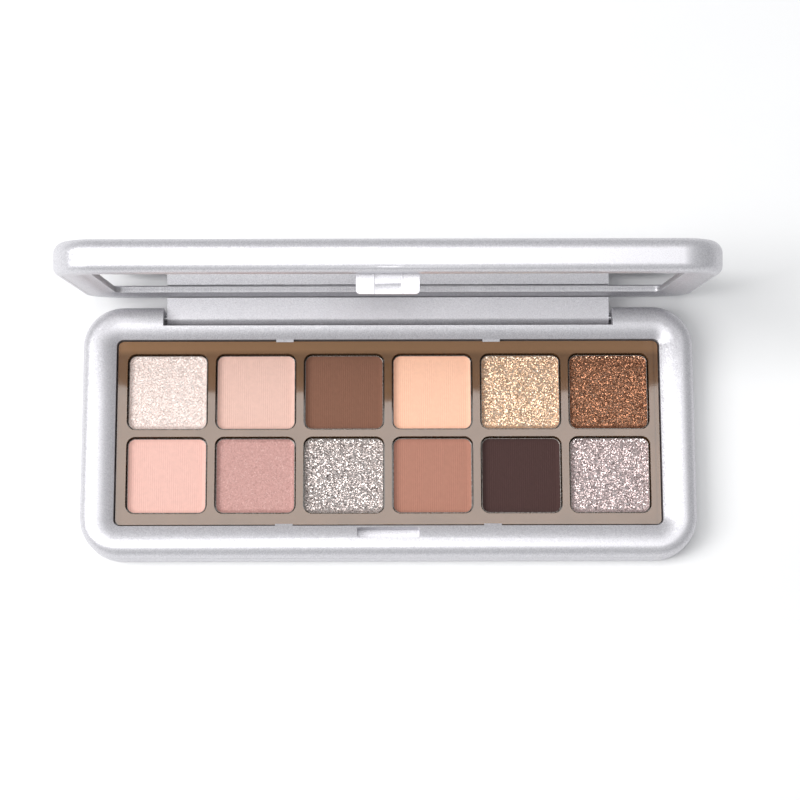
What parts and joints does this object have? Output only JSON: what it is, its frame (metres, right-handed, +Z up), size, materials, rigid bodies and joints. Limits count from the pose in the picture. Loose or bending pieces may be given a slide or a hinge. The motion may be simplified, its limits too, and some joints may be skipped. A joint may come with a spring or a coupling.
{
  "type": "eyeshadow palette",
  "caption": "Hinged compact palette: a shallow padded case with a tray of square pressed-powder pans and a friction-held lid that carries a mirror and a snap latch",
  "frame": {"origin": "middle of the flat underside of the base, on the surface it rests on", "axes": "+X runs to the user's right along the long side, +Y from the front edge to the hinge, +Z up out of the underside"},
  "size_m": [0.13, 0.0633, 0.0568],
  "materials": {
    "satin_silver": "satin metallic flake paint on moulded plastic, cool silver with a faint mauve cast",
    "smoked_amber": "glossy smoked amber-brown moulding, mirror smooth",
    "tinplate": "pressed tinplate pan with a bright thin rim",
    "pearl_champagne": "pressed pearl powder, fine champagne sheen",
    "matte_beige_pink": "pressed matte powder",
    "matte_brown": "pressed matte powder",
    "matte_peach": "pressed matte powder",
    "gold_glitter": "pressed glitter powder, gold flakes",
    "bronze_shimmer": "pressed shimmer powder, bronze flakes",
    "matte_light_pink": "pressed matte powder",
    "dusty_rose_satin": "pressed satin powder, fine rose shimmer",
    "silver_glitter": "pressed glitter powder, coarse silver flakes",
    "matte_rose_brown": "pressed matte powder",
    "matte_espresso": "pressed matte powder",
    "pink_silver_glitter": "pressed glitter powder, pink-silver flakes",
    "adhesive": "soft pressure-sensitive adhesive",
    "mirror": "silvered glass mirror",
    "pin_steel": "plain drawn steel pin"
  },
  "bodies": {
    "base": {"base_lower_case": "satin_silver", "base_rim_frame": "satin_silver", "pan_tray": "smoked_amber", "pan_1": "tinplate", "pan_2": "tinplate", "pan_3": "tinplate", "pan_4": "tinplate", "pan_5": "tinplate", "pan_6": "tinplate", "pan_7": "tinplate", "pan_8": "tinplate", "pan_9": "tinplate", "pan_10": "tinplate", "pan_11": "tinplate", "pan_12": "tinplate", "powder_1": "pearl_champagne", "powder_2": "matte_beige_pink", "powder_3": "matte_brown", "powder_4": "matte_peach", "powder_5": "gold_glitter", "powder_6": "bronze_shimmer", "powder_7": "matte_light_pink", "powder_8": "dusty_rose_satin", "powder_9": "silver_glitter", "powder_10": "matte_rose_brown", "powder_11": "matte_espresso", "powder_12": "pink_silver_glitter", "pan_glue_pads": "adhesive", "hinge_pin_left": "pin_steel", "hinge_pin_right": "pin_steel"},
    "lid": {"lid_outer_shell": "satin_silver", "lid_inner_frame": "satin_silver", "lid_mirror": "mirror", "mirror_adhesive_pad": "adhesive"}
  },
  "joints": [
    {"name": "lid_hinge", "type": "hinge", "parent": "base", "child": "lid", "pos_m": [0, 0.0254, 0.0036], "axis": [-1, 0, 0], "range_deg": [-79.2, 18.8]}
  ]
}
